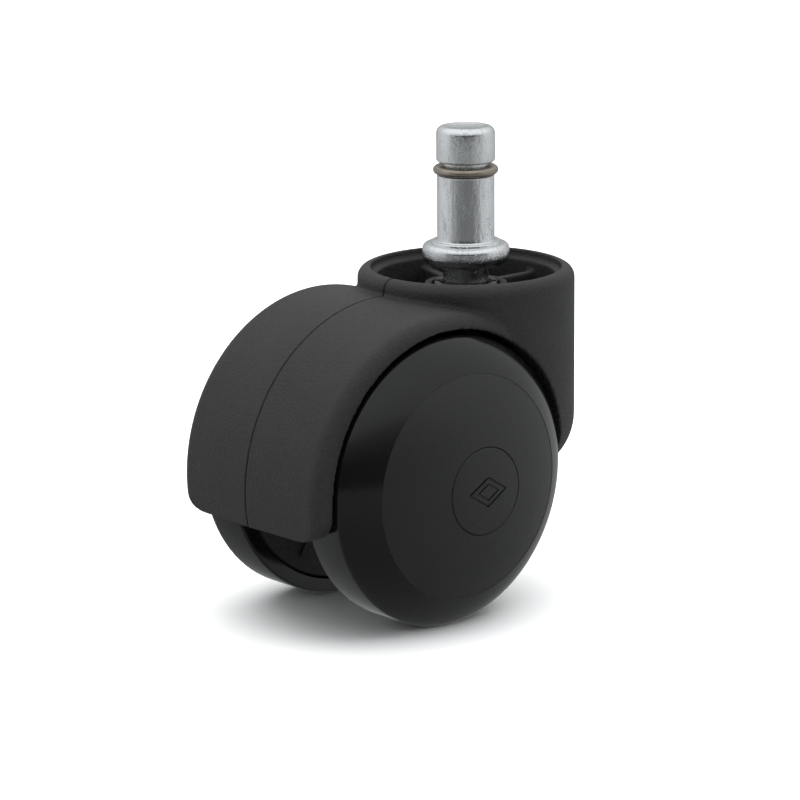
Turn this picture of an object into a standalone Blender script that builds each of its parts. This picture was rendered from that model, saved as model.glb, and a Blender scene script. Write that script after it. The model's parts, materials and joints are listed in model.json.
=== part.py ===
"""Hooded twin-wheel chair caster with a grip-ring stem.

The origin is on the swivel axis at the stem's flange seat. +Z runs up the stem, the hood
is towards -X and the two wheels turn about an axle parallel to Y. The left wheel is at -Y.
"""

from math import cos, pi, radians, sin, sqrt

import bmesh
import bpy
from mathutils import Vector

MM = 0.001

# Clearances
GAP = 0.3 * MM
RING_PLAY = 0.35 * MM
WELL_CLEARANCE = 1.0 * MM
TOOL_OVERSHOOT = 2.0 * MM

# Stem
SHAFT_RADIUS = 5.0 * MM
CAP_RADIUS = 5.1 * MM
CAP_TOP = 20.0 * MM
CAP_LENGTH = 6.2 * MM
CAP_ROUNDING = 1.3 * MM
CAP_CHAMFER = 0.5 * MM
GROOVE_DEPTH = 1.1 * MM
RING_WIRE_RADIUS = 0.73 * MM
RING_OPENING_ANGLE = 40
RING_OPENING_DIRECTION = 50
FLANGE_RADIUS = 7.55 * MM
SEAT_RADIUS = 6.1 * MM
SEAT_STEP = 0.45 * MM
FLANGE_TOP_ROUNDING = 1.0 * MM
FLANGE_UNDER_ROUNDING = 1.6 * MM
FLANGE_THICKNESS = 4.1 * MM
NECK_RADIUS = 4.0 * MM
NECK_END = -27.0 * MM
NECK_CHAMFER = 0.5 * MM
NOTCH_DEPTH = 0.6 * MM
NOTCH_HEIGHT = 1.4 * MM
NOTCH_DROP = 2.0 * MM
BALL_RADIUS = 2.2 * MM
BALL_SEAT_DEPTH = 1.4 * MM
WEAR_PLATE_THICKNESS = 1.0 * MM

# Housing
CUP_RADIUS = 18.85 * MM
CUP_WALL = 3.4 * MM
RIM_WALL = 2.3 * MM
RIM_DROP = 4.45 * MM
RIM_ROUNDING = 1.8 * MM
LEDGE_DEPTH = 1.4 * MM
CUP_BOTTOM_ROUNDING = 10.5 * MM
CUP_BOTTOM_DROP = 41.0 * MM
HOOD_WALL = 3.6 * MM
HOOD_HALF_WIDTH = 18.0 * MM
HOOD_ROUNDING = 2.2 * MM
HOOD_DRAFT = 0.45 * MM
HOOD_FORWARD = 0.5 * MM
HOOD_LOWER = 0.5 * MM
HOOD_TOP_DROP = 6.7 * MM
HOOD_FRONT_BELOW_AXLE = 6.2 * MM
HOOD_CORNER_RADIUS = 5.5 * MM
WEB_HALF_THICKNESS = 1.5 * MM
BOSS_TOP_BELOW_RIM = 3.0 * MM
BOSS_WALL = 1.3 * MM
BOSS_FLOOR = 2.1 * MM
SOCKET_TUBE_RADIUS = 7.2 * MM
AXLE_BOSS_WALL = 2.2 * MM
AXLE_BOSS_HALF_LENGTH = 8.8 * MM
RIB_THICKNESS = 1.6 * MM
RIB_ANGLES = (0, 75, 150, 210, 285)

# Retaining collar in the mouth of the socket
COLLAR_WALL = 1.3 * MM
COLLAR_LENGTH = 5.0 * MM
COLLAR_SLOT = 1.2 * MM
COLLAR_ROOT = 1.3 * MM

# Wheels and axle
WHEEL_RADIUS = 25.0 * MM
TREAD_INNER_FACE = 9.6 * MM
TREAD_OUTER_EDGE = 17.5 * MM
DOME_HEIGHT = 9.9 * MM
DOME_FULLNESS = 0.78
WHEEL_WALL = 2.5 * MM
CAP_DISC_RADIUS = 7.3 * MM
CAP_DISC_THICKNESS = 1.5 * MM
CAP_PLUG_RADIUS = 5.0 * MM
CAP_PLUG_LENGTH = 0.8 * MM
AXLE_OFFSET = 19.7 * MM
AXLE_RADIUS = 3.0 * MM
AXLE_END_CHAMFER = 0.4 * MM
CLIP_GROOVE_DEPTH = 0.5 * MM
CLIP_THICKNESS = 0.7 * MM
CLIP_OUTER_RADIUS = 4.8 * MM
AXLE_STUB = 1.0 * MM
BUSH_WALL = 0.8 * MM
HUB_WALL = 2.5 * MM
HUB_DISC_RECESS = 0.4 * MM
HUB_DISC_THICKNESS = 2.0 * MM
HUB_RIB_COUNT = 6
HUB_RIB_THICKNESS = 1.2 * MM
HUB_RIB_HEIGHT = 0.3 * MM
WASHER_THICKNESS = 0.5 * MM
WASHER_RADIUS = 6.0 * MM

# Facets
FINE_STEPS = 48
SMALL_STEPS = 24
TINY_STEPS = 16
ARC_STEPS = 3
LONG_ARC_STEPS = 6
DOME_STEPS = 6
INNER_DOME_STEPS = 4
SHARP_ANGLE = 35

# Worked out from the sizes above
WELL_RADIUS = WHEEL_RADIUS + WELL_CLEARANCE
HOOD_RADIUS = WELL_RADIUS + HOOD_WALL
AXLE_DROP = HOOD_RADIUS + HOOD_TOP_DROP
AXLE_CENTRE = Vector((-AXLE_OFFSET, 0, -AXLE_DROP))
HOOD_CENTRE = AXLE_CENTRE - Vector((HOOD_FORWARD, 0, HOOD_LOWER))
HOOD_CORE_RADIUS = WELL_RADIUS - HOOD_FORWARD - HOOD_LOWER
CAP_BOTTOM = CAP_TOP - CAP_LENGTH
GROOVE_RADIUS = SHAFT_RADIUS - GROOVE_DEPTH
RING_CENTRELINE = GROOVE_RADIUS + RING_PLAY + RING_WIRE_RADIUS
RING_HEIGHT = CAP_BOTTOM - 2 * RING_PLAY - RING_WIRE_RADIUS
GROOVE_BOTTOM = RING_HEIGHT - RING_WIRE_RADIUS - RING_PLAY
BOSS_TOP = -(RIM_DROP + BOSS_TOP_BELOW_RIM)
COLLAR_INNER_RADIUS = NECK_RADIUS + GAP
COLLAR_OUTER_RADIUS = COLLAR_INNER_RADIUS + COLLAR_WALL
COLLAR_TOP = BOSS_TOP + GAP
COLLAR_BOTTOM = COLLAR_TOP - COLLAR_LENGTH
COLLAR_RECESS_RADIUS = COLLAR_OUTER_RADIUS + GAP
NOTCH_TOP = BOSS_TOP - NOTCH_DROP
NOTCH_BOTTOM = NOTCH_TOP - NOTCH_HEIGHT
NOTCH_RADIUS = NECK_RADIUS - NOTCH_DEPTH
BALL_SEAT_TOP = NECK_END + BALL_SEAT_DEPTH
BALL_HEIGHT = BALL_SEAT_TOP - GAP - BALL_RADIUS
PLATE_TOP = BALL_HEIGHT - BALL_RADIUS - GAP
PLATE_BOTTOM = PLATE_TOP - WEAR_PLATE_THICKNESS
SOCKET_RADIUS = NECK_RADIUS + GAP
SOCKET_FLOOR = PLATE_BOTTOM - GAP
BORE_RADIUS = AXLE_RADIUS + GAP
AXLE_BOSS_RADIUS = BORE_RADIUS + AXLE_BOSS_WALL
WASHER_INNER_FACE = AXLE_BOSS_HALF_LENGTH + GAP
HUB_INNER_FACE = WASHER_INNER_FACE + WASHER_THICKNESS + GAP
HUB_BORE_RADIUS = BORE_RADIUS + BUSH_WALL + GAP
HUB_RADIUS = HUB_BORE_RADIUS + HUB_WALL
HUB_DISC_FACE = TREAD_INNER_FACE + HUB_DISC_RECESS
INNER_DOME_HEIGHT = DOME_HEIGHT - WHEEL_WALL
INNER_WALL_RADIUS = WHEEL_RADIUS - WHEEL_WALL
HUB_DISC_RADIUS = INNER_WALL_RADIUS - GAP


def dome_at(radius, height, rim_radius):
    """How far a dome of this height stands from the centre plane at a radius."""
    return TREAD_OUTER_EDGE + height * (1 - (radius / rim_radius) ** 2) ** DOME_FULLNESS


CAP_RECESS_RADIUS = CAP_DISC_RADIUS + GAP
CAP_BACK = dome_at(CAP_RECESS_RADIUS, DOME_HEIGHT, WHEEL_RADIUS) - CAP_DISC_THICKNESS
CAP_FLOOR = CAP_BACK - GAP
CAP_PLUG_END = CAP_BACK - CAP_PLUG_LENGTH
AXLE_END = CAP_PLUG_END - GAP
CLIP_OUTER_FACE = AXLE_END - AXLE_STUB
CLIP_INNER_FACE = CLIP_OUTER_FACE - CLIP_THICKNESS
HUB_OUTER_FACE = CLIP_INNER_FACE - GAP
INNER_CEILING = dome_at(HUB_RADIUS + GAP, INNER_DOME_HEIGHT, INNER_WALL_RADIUS)


def clear_scene():
    """Remove every object that the scene starts with."""
    for obj in list(bpy.data.objects):
        bpy.data.objects.remove(obj, do_unlink=True)


def make_material(name, colour, roughness, metallic=0.0):
    """A Principled material."""
    material = bpy.data.materials.new(name)
    material.use_nodes = True
    shader = material.node_tree.nodes["Principled BSDF"]
    shader.inputs["Base Color"].default_value = (*colour, 1.0)
    shader.inputs["Roughness"].default_value = roughness
    shader.inputs["Metallic"].default_value = metallic
    return material


def make_empty(name, place, parent=None):
    """An empty on a joint axis, which carries the pieces that turn about it."""
    empty = bpy.data.objects.new(name, None)
    empty.location = place
    empty.parent = parent
    bpy.context.collection.objects.link(empty)
    return empty


def make_object(name, mesh, material=None, parent=None):
    """Link a mesh as a named object."""
    obj = bpy.data.objects.new(name, mesh)
    obj.parent = parent
    if material:
        mesh.materials.append(material)
    bpy.context.collection.objects.link(obj)
    return obj


def finish_mesh(name, bm):
    """Close a bmesh into a mesh, facing out and shaded smooth."""
    bmesh.ops.remove_doubles(bm, verts=bm.verts, dist=0.001 * MM)
    bmesh.ops.recalc_face_normals(bm, faces=bm.faces)
    mesh = bpy.data.meshes.new(name)
    bm.to_mesh(mesh)
    bm.free()
    mesh.shade_smooth()
    mesh.set_sharp_from_angle(angle=radians(SHARP_ANGLE))
    return mesh


def arc(centre, radius, start, end, steps=ARC_STEPS):
    """Points on an arc, from one angle to another in degrees, in the outline's plane."""
    angles = [radians(start + (end - start) * i / steps) for i in range(steps + 1)]
    return [(centre[0] + radius * cos(a), centre[1] + radius * sin(a)) for a in angles]


def turned(name, outline, axis, steps, closed=False):
    """Turn an outline of (distance from the axis, height along it) about Z or Y."""
    bm = bmesh.new()
    if axis == "Z":
        points = [(r, 0, h) for r, h in outline]
        direction = (0, 0, 1)
    else:
        points = [(r, h, 0) for r, h in outline]
        direction = (0, 1, 0)
    verts = [bm.verts.new(point) for point in points]
    ends = verts[1:] + verts[:1] if closed else verts[1:]
    edges = [bm.edges.new(pair) for pair in zip(verts, ends)]
    bmesh.ops.spin(
        bm,
        geom=verts + edges,
        axis=direction,
        angle=2 * pi,
        steps=steps,
        use_merge=True,
    )
    return finish_mesh(name, bm)


def extruded(name, outline, axis, low, high):
    """Extrude a closed outline in the plane across an axis, from one place on it to another."""
    place = {
        "X": lambda u, v, w: (w, u, v),
        "Y": lambda u, v, w: (u, w, v),
        "Z": lambda u, v, w: (u, v, w),
    }[axis]
    bm = bmesh.new()
    face = bm.faces.new([bm.verts.new(place(u, v, low)) for u, v in outline])
    grown = bmesh.ops.extrude_face_region(bm, geom=[face])
    moved = [item for item in grown["geom"] if isinstance(item, bmesh.types.BMVert)]
    bmesh.ops.translate(bm, verts=moved, vec=place(0, 0, high - low))
    return finish_mesh(name, bm)


def box_outline(low, high):
    """A rectangle from two corners."""
    return [low, (high[0], low[1]), high, (low[0], high[1])]


def shape_tool(name, mesh, place=(0, 0, 0), parent=None):
    """A hidden solid that a Boolean adds or takes away."""
    tool = make_object(name, mesh, parent=parent)
    tool.location = place
    tool.hide_render = True
    tool.display_type = "WIRE"
    return tool


def combine(obj, tool, operation, solver="EXACT"):
    """Add or take away a tool."""
    modifier = obj.modifiers.new(tool.name, "BOOLEAN")
    modifier.operation = operation
    modifier.solver = solver
    modifier.object = tool


def radial_plate(name, inner, outer, low, high, thickness, angle, axis):
    """A plate that stands out from an axis at an angle, for ribs."""
    outline = box_outline((inner, -thickness / 2), (outer, thickness / 2))
    turn = (0, 0, radians(angle)) if axis == "Z" else (0, radians(angle), 0)
    return extruded(name, outline, axis, low, high), turn


def make_stem(material):
    """The turned steel stem, from its rounded cap to the ball seat in its lower end."""
    shoulder = (FLANGE_RADIUS - FLANGE_TOP_ROUNDING, -SEAT_STEP - FLANGE_TOP_ROUNDING)
    under = (FLANGE_RADIUS - FLANGE_UNDER_ROUNDING, FLANGE_UNDER_ROUNDING - FLANGE_THICKNESS)
    crown = (CAP_RADIUS - CAP_ROUNDING, CAP_TOP - CAP_ROUNDING)
    outline = [(0, CAP_TOP)]
    outline += arc(crown, CAP_ROUNDING, 90, 0)
    outline += [(CAP_RADIUS, CAP_BOTTOM + CAP_CHAMFER), (CAP_RADIUS - CAP_CHAMFER, CAP_BOTTOM)]
    outline += [(GROOVE_RADIUS, CAP_BOTTOM), (GROOVE_RADIUS, GROOVE_BOTTOM)]
    outline += [(SHAFT_RADIUS, GROOVE_BOTTOM), (SHAFT_RADIUS, 0)]
    outline += [(SEAT_RADIUS, 0), (SEAT_RADIUS, -SEAT_STEP)]
    outline += arc(shoulder, FLANGE_TOP_ROUNDING, 90, 0)
    outline += arc(under, FLANGE_UNDER_ROUNDING, 0, -90)
    outline += [(NECK_RADIUS, -FLANGE_THICKNESS), (NECK_RADIUS, NOTCH_TOP)]
    outline += [(NOTCH_RADIUS, NOTCH_TOP), (NOTCH_RADIUS, NOTCH_BOTTOM)]
    outline += [(NECK_RADIUS, NOTCH_BOTTOM), (NECK_RADIUS, NECK_END + NECK_CHAMFER)]
    outline += [(NECK_RADIUS - NECK_CHAMFER, NECK_END), (BALL_RADIUS + GAP, NECK_END)]
    outline += [(BALL_RADIUS + GAP, BALL_SEAT_TOP), (0, BALL_SEAT_TOP)]
    return make_object("stem", turned("stem", outline, "Z", SMALL_STEPS), material)


def make_grip_ring(material):
    """The open wire ring that snaps into a chair base's socket."""
    bm = bmesh.new()
    section = bmesh.ops.create_circle(bm, segments=10, radius=RING_WIRE_RADIUS)
    bmesh.ops.rotate(
        bm,
        verts=section["verts"],
        matrix=Vector((0, 0, 1)).rotation_difference(Vector((0, 1, 0))).to_matrix(),
    )
    bmesh.ops.translate(bm, verts=section["verts"], vec=(RING_CENTRELINE, 0, RING_HEIGHT))
    bmesh.ops.spin(
        bm,
        geom=bm.verts[:] + bm.edges[:],
        axis=(0, 0, 1),
        angle=radians(360 - RING_OPENING_ANGLE),
        steps=SMALL_STEPS,
    )
    bmesh.ops.holes_fill(bm, edges=[edge for edge in bm.edges if edge.is_boundary])
    ring = make_object("grip_ring", finish_mesh("grip_ring", bm), material)
    ring.rotation_euler.z = radians(RING_OPENING_DIRECTION + RING_OPENING_ANGLE / 2)
    return ring


def make_thrust_ball(material, parent):
    """The steel ball that the stem's end turns on."""
    bm = bmesh.new()
    bmesh.ops.create_uvsphere(bm, u_segments=16, v_segments=10, radius=BALL_RADIUS)
    ball = make_object("thrust_ball", finish_mesh("thrust_ball", bm), material, parent)
    ball.location.z = BALL_HEIGHT
    return ball


def make_wear_plate(material, parent):
    """The steel disc under the ball, which keeps it out of the nylon."""
    outline = [(0, PLATE_TOP), (NECK_RADIUS, PLATE_TOP), (NECK_RADIUS, PLATE_BOTTOM)]
    outline += [(0, PLATE_BOTTOM)]
    return make_object("wear_plate", turned("wear_plate", outline, "Z", SMALL_STEPS), material, parent)


def make_collar(material, parent):
    """The slotted collar whose lip holds the stem by its notch."""
    lip_radius = NOTCH_RADIUS + GAP
    lip_top = NOTCH_TOP - GAP
    lip_bottom = NOTCH_BOTTOM + GAP
    outline = [(COLLAR_INNER_RADIUS, COLLAR_TOP), (COLLAR_OUTER_RADIUS, COLLAR_TOP)]
    outline += [(COLLAR_OUTER_RADIUS, COLLAR_BOTTOM), (COLLAR_INNER_RADIUS, COLLAR_BOTTOM)]
    outline += [(COLLAR_INNER_RADIUS, lip_bottom), (lip_radius, lip_bottom)]
    outline += [(lip_radius, lip_top), (COLLAR_INNER_RADIUS, lip_top)]
    mesh = turned("stem_collar", outline, "Z", SMALL_STEPS, closed=True)
    collar = make_object("stem_collar", mesh, material, parent)
    reach = COLLAR_OUTER_RADIUS + TOOL_OVERSHOOT
    for index, turn in enumerate((45, 135)):
        slot = extruded(
            f"collar_slot_{index}",
            box_outline((-reach, -COLLAR_SLOT / 2), (reach, COLLAR_SLOT / 2)),
            "Z",
            COLLAR_BOTTOM + COLLAR_ROOT,
            COLLAR_TOP + TOOL_OVERSHOOT,
        )
        tool = shape_tool(f"collar_slot_{index}", slot, parent=parent)
        tool.rotation_euler.z = radians(turn)
        combine(collar, tool, "DIFFERENCE")
    return collar


def cup_outer():
    """The outside of the cup round the stem, closed over its top."""
    rim = (CUP_RADIUS - RIM_ROUNDING, -RIM_DROP - RIM_ROUNDING)
    bottom = (CUP_RADIUS - CUP_BOTTOM_ROUNDING, -CUP_BOTTOM_DROP + CUP_BOTTOM_ROUNDING)
    outline = [(0, -RIM_DROP)]
    outline += arc(rim, RIM_ROUNDING, 90, 0)
    outline += arc(bottom, CUP_BOTTOM_ROUNDING, 0, -90, LONG_ARC_STEPS)
    outline += [(0, -CUP_BOTTOM_DROP)]
    return turned("housing", outline, "Z", FINE_STEPS)


def cup_well():
    """The hollow of the cup, with the ledge inside its rim."""
    rim_radius = CUP_RADIUS - RIM_WALL
    inner_radius = CUP_RADIUS - CUP_WALL
    centre = (CUP_RADIUS - CUP_BOTTOM_ROUNDING, -CUP_BOTTOM_DROP + CUP_BOTTOM_ROUNDING)
    rounding = CUP_BOTTOM_ROUNDING - CUP_WALL
    ledge = -RIM_DROP - LEDGE_DEPTH
    outline = [(0, -RIM_DROP + TOOL_OVERSHOOT), (rim_radius, -RIM_DROP + TOOL_OVERSHOOT)]
    outline += [(rim_radius, ledge), (inner_radius, ledge)]
    outline += arc(centre, rounding, 0, -90)
    outline += [(0, centre[1] - rounding)]
    return turned("cup_well", outline, "Z", FINE_STEPS)


def hood_and_web():
    """The hood's band and the web inside it, turned as one T-shaped section that the wheel wells cut back."""
    rounding_radius = HOOD_RADIUS - HOOD_DRAFT - HOOD_ROUNDING
    low = (rounding_radius, HOOD_ROUNDING - HOOD_HALF_WIDTH)
    high = (rounding_radius, HOOD_HALF_WIDTH - HOOD_ROUNDING)
    web = WEB_HALF_THICKNESS + GAP
    outline = [(0, -web), (HOOD_CORE_RADIUS, -web), (HOOD_CORE_RADIUS, -HOOD_HALF_WIDTH)]
    outline += arc(low, HOOD_ROUNDING, -90, 0)
    outline += [(HOOD_RADIUS, 0)]
    outline += arc(high, HOOD_ROUNDING, 0, 90)
    outline += [(HOOD_CORE_RADIUS, HOOD_HALF_WIDTH), (HOOD_CORE_RADIUS, web), (0, web)]
    return turned("hood_and_web", outline, "Y", FINE_STEPS)


def rear_trim(parent):
    """What the hood's band would leave outside the cup behind the stem."""
    reach = 2 * (CUP_RADIUS + HOOD_HALF_WIDTH)
    outline = box_outline((0, -reach), (reach, reach))
    waste = extruded("rear_trim", outline, "Z", -AXLE_DROP - 2 * HOOD_RADIUS, -GAP)
    trim = shape_tool("rear_trim", waste, parent=parent)
    bottom = (CUP_RADIUS - CUP_BOTTOM_ROUNDING, -CUP_BOTTOM_DROP + CUP_BOTTOM_ROUNDING)
    kept = [(0, 0), (CUP_RADIUS - GAP, 0)]
    kept += arc(bottom, CUP_BOTTOM_ROUNDING - GAP, 0, -90, LONG_ARC_STEPS)
    kept += [(0, -CUP_BOTTOM_DROP + GAP)]
    inside = shape_tool("inside_cup", turned("inside_cup", kept, "Z", FINE_STEPS), parent=parent)
    combine(trim, inside, "DIFFERENCE", "MANIFOLD")
    return trim


def wheel_well(side):
    """The room for a wheel beside the web, through the hood's side and the cup."""
    inner = side * WEB_HALF_THICKNESS
    outer = side * (HOOD_HALF_WIDTH + CUP_RADIUS)
    outline = [(0, inner), (WELL_RADIUS, inner), (WELL_RADIUS, outer), (0, outer)]
    return turned("wheel_well", outline, "Y", FINE_STEPS)


def drum(name, radius, low, high, axis="Y", steps=SMALL_STEPS):
    """A plain drum on an axis."""
    return turned(name, [(0, low), (radius, low), (radius, high), (0, high)], axis, steps)


def underside():
    """Everything below the hood's front edge, the web and the cup's bottom."""
    front = -AXLE_DROP - HOOD_FRONT_BELOW_AXLE
    step = AXLE_CENTRE.x + AXLE_BOSS_RADIUS + GAP
    rear = -CUP_BOTTOM_DROP + 2 * GAP
    far = 3 * HOOD_RADIUS
    outline = [(-far, front), (step, front), (step, rear)]
    outline += [(far, rear), (far, -far), (-far, -far)]
    return extruded("underside", outline, "Y", -far, far)


def hood_corner(side):
    """The waste outside the rounded corner at one end of the hood's front edge."""
    bottom = -AXLE_DROP - HOOD_FRONT_BELOW_AXLE
    centre = (side * (HOOD_HALF_WIDTH - HOOD_CORNER_RADIUS), bottom + HOOD_CORNER_RADIUS)
    start, end = (0, -90) if side > 0 else (180, 270)
    outline = arc(centre, HOOD_CORNER_RADIUS, start, end, LONG_ARC_STEPS)
    outer = side * (HOOD_HALF_WIDTH + TOOL_OVERSHOOT)
    outline += [(centre[0], bottom - TOOL_OVERSHOOT), (outer, bottom - TOOL_OVERSHOOT)]
    outline += [(outer, centre[1])]
    low = HOOD_CENTRE.x - HOOD_RADIUS - TOOL_OVERSHOOT
    high = AXLE_CENTRE.x - WELL_RADIUS / 2
    return extruded("hood_corner", outline, "X", low, high)


def make_housing(material, parent):
    """The one-piece nylon moulding: cup, hood, web, stem socket, ribs and axle boss."""
    housing = make_object("housing", cup_outer(), material, parent)

    def shape(operation, name, mesh, place=(0, 0, 0), turn=(0, 0, 0)):
        tool = shape_tool(name, mesh, place, parent)
        tool.rotation_euler = turn
        combine(housing, tool, operation, "MANIFOLD")
        return tool

    tube_bottom = SOCKET_FLOOR - BOSS_FLOOR
    shape("DIFFERENCE", "cup_well", cup_well())
    hood = shape("UNION", "hood_and_web", hood_and_web(), HOOD_CENTRE)
    combine(hood, rear_trim(parent), "DIFFERENCE", "MANIFOLD")
    for angle in RIB_ANGLES:
        inner = SOCKET_TUBE_RADIUS - BOSS_WALL / 2
        reach = CUP_RADIUS - CUP_WALL / 2
        low = rib_bottom(angle, reach)
        mesh, turn = radial_plate("rib", inner, reach, low, BOSS_TOP - GAP, RIB_THICKNESS, angle, "Z")
        shape("UNION", f"rib_{angle}", mesh, turn=turn)
    for side, word in ((-1, "left"), (1, "right")):
        shape("DIFFERENCE", f"wheel_well_{word}", wheel_well(side), AXLE_CENTRE)
    shape("UNION", "socket_tube", drum("socket_tube", SOCKET_TUBE_RADIUS, tube_bottom, BOSS_TOP, "Z"))
    boss = drum("axle_boss", AXLE_BOSS_RADIUS, -AXLE_BOSS_HALF_LENGTH, AXLE_BOSS_HALF_LENGTH)
    shape("UNION", "axle_boss", boss, AXLE_CENTRE)
    shape("DIFFERENCE", "underside", underside())
    for side, word in ((-1, "left"), (1, "right")):
        shape("DIFFERENCE", f"hood_corner_{word}", hood_corner(side))
    recess_top = BOSS_TOP + TOOL_OVERSHOOT
    recess_bottom = COLLAR_BOTTOM - GAP
    recess = [(0, recess_top), (COLLAR_RECESS_RADIUS, recess_top)]
    recess += [(COLLAR_RECESS_RADIUS, recess_bottom), (SOCKET_RADIUS, recess_bottom)]
    recess += [(SOCKET_RADIUS, SOCKET_FLOOR), (0, SOCKET_FLOOR)]
    shape("DIFFERENCE", "socket", turned("socket", recess, "Z", SMALL_STEPS))
    bore_reach = AXLE_BOSS_HALF_LENGTH + TOOL_OVERSHOOT
    shape("DIFFERENCE", "axle_bore", drum("axle_bore", BORE_RADIUS, -bore_reach, bore_reach), AXLE_CENTRE)
    return housing


def rib_bottom(angle, reach):
    """The lowest point of a rib, inside the hood's wall under it."""
    middle = (WELL_RADIUS + HOOD_RADIUS) / 2
    across = reach * cos(radians(angle)) + AXLE_OFFSET
    inner_across = SOCKET_TUBE_RADIUS * cos(radians(angle)) + AXLE_OFFSET
    furthest = min(max(across, inner_across), 0.9 * middle)
    return -AXLE_DROP + sqrt(middle**2 - furthest**2)


def make_axle(material, parent):
    """The steel axle pin, grooved near both ends for its clips."""
    groove_radius = AXLE_RADIUS - CLIP_GROOVE_DEPTH
    groove_inner = CLIP_INNER_FACE - GAP
    groove_outer = CLIP_OUTER_FACE + GAP
    half = [(groove_radius, groove_inner), (groove_radius, groove_outer)]
    half = [(AXLE_RADIUS, groove_inner)] + half + [(AXLE_RADIUS, groove_outer)]
    half += [(AXLE_RADIUS, AXLE_END - AXLE_END_CHAMFER)]
    half += [(AXLE_RADIUS - AXLE_END_CHAMFER, AXLE_END), (0, AXLE_END)]
    outline = [(r, -h) for r, h in reversed(half)] + half
    return make_object("axle", turned("axle", outline, "Y", TINY_STEPS), material, parent)


def wheel_side(outline, side):
    """Put an outline drawn for the right wheel on the side wanted."""
    return [(r, side * h) for r, h in outline]


def dome_points(inner_radius, rim_radius, height, steps):
    """The dome's outline from a radius out to the rim, closer together near the rim."""
    spots = [1 - (1 - i / steps) ** 2 for i in range(steps)]
    radii = [inner_radius + (rim_radius - inner_radius) * spot for spot in spots]
    return [(r, dome_at(r, height, rim_radius)) for r in radii] + [(rim_radius, TREAD_OUTER_EDGE)]


def make_wheel_shell(side, name, material, parent):
    """The tread and domed face, hollow behind, with a recess for the hub cap."""
    opening = CAP_PLUG_RADIUS + GAP
    outline = dome_points(CAP_RECESS_RADIUS, WHEEL_RADIUS, DOME_HEIGHT, DOME_STEPS)
    outline += [(WHEEL_RADIUS, TREAD_INNER_FACE), (INNER_WALL_RADIUS, TREAD_INNER_FACE)]
    outline += reversed(dome_points(HUB_RADIUS + GAP, INNER_WALL_RADIUS, INNER_DOME_HEIGHT, INNER_DOME_STEPS))
    outline += [(opening, INNER_CEILING), (opening, CAP_FLOOR), (CAP_RECESS_RADIUS, CAP_FLOOR)]
    mesh = turned(name, wheel_side(outline, side), "Y", FINE_STEPS, closed=True)
    return make_object(name, mesh, material, parent)


def make_hub(side, name, material, parent):
    """The inboard disc and hub that close the shell and carry the bush."""
    outer_face = min(HUB_OUTER_FACE, INNER_CEILING - GAP)
    disc_back = HUB_DISC_FACE + HUB_DISC_THICKNESS
    outline = [(HUB_BORE_RADIUS, HUB_INNER_FACE), (HUB_RADIUS, HUB_INNER_FACE)]
    outline += [(HUB_RADIUS, HUB_DISC_FACE), (HUB_DISC_RADIUS, HUB_DISC_FACE)]
    outline += [(hub_disc_back_radius(disc_back), disc_back), (HUB_RADIUS, disc_back)]
    outline += [(HUB_RADIUS, outer_face), (HUB_BORE_RADIUS, outer_face)]
    mesh = turned(name, wheel_side(outline, side), "Y", FINE_STEPS, closed=True)
    hub = make_object(name, mesh, material, parent)
    low, high = sorted((side * (HUB_DISC_FACE - HUB_RIB_HEIGHT), side * (HUB_DISC_FACE + GAP)))
    for index in range(HUB_RIB_COUNT):
        angle = 360 * index / HUB_RIB_COUNT
        inner = HUB_RADIUS - GAP
        reach = HUB_DISC_RADIUS - HUB_WALL
        mesh, turn = radial_plate("rib", inner, reach, low, high, HUB_RIB_THICKNESS, angle, "Y")
        tool = shape_tool(f"{name}_rib_{index}", mesh, parent=parent)
        tool.rotation_euler = turn
        combine(hub, tool, "UNION")
    return hub


def hub_disc_back_radius(disc_back):
    """How wide the back of the hub disc can be inside the shell's hollow."""
    rise = max(0, disc_back + GAP - TREAD_OUTER_EDGE) / INNER_DOME_HEIGHT
    return INNER_WALL_RADIUS * sqrt(1 - rise ** (1 / DOME_FULLNESS)) - GAP


def make_ring(side, name, inner, outer, low, high, material, parent):
    """A plain ring on the axle, such as a bush, washer or clip."""
    outline = [(inner, low), (outer, low), (outer, high), (inner, high)]
    mesh = turned(name, wheel_side(outline, side), "Y", TINY_STEPS, closed=True)
    return make_object(name, mesh, material, parent)


def make_hub_cap(side, name, material, parent):
    """The plain round cap in the middle of the wheel's face."""
    domed = [(0, TREAD_OUTER_EDGE + DOME_HEIGHT)]
    for step in (1, 2, 3):
        radius = CAP_DISC_RADIUS * step / 3
        domed.append((radius, dome_at(radius, DOME_HEIGHT, WHEEL_RADIUS)))
    outline = domed + [(CAP_DISC_RADIUS, CAP_BACK), (CAP_PLUG_RADIUS, CAP_BACK)]
    outline += [(CAP_PLUG_RADIUS, CAP_PLUG_END), (0, CAP_PLUG_END)]
    mesh = turned(name, wheel_side(outline, side), "Y", SMALL_STEPS)
    return make_object(name, mesh, material, parent)


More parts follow.
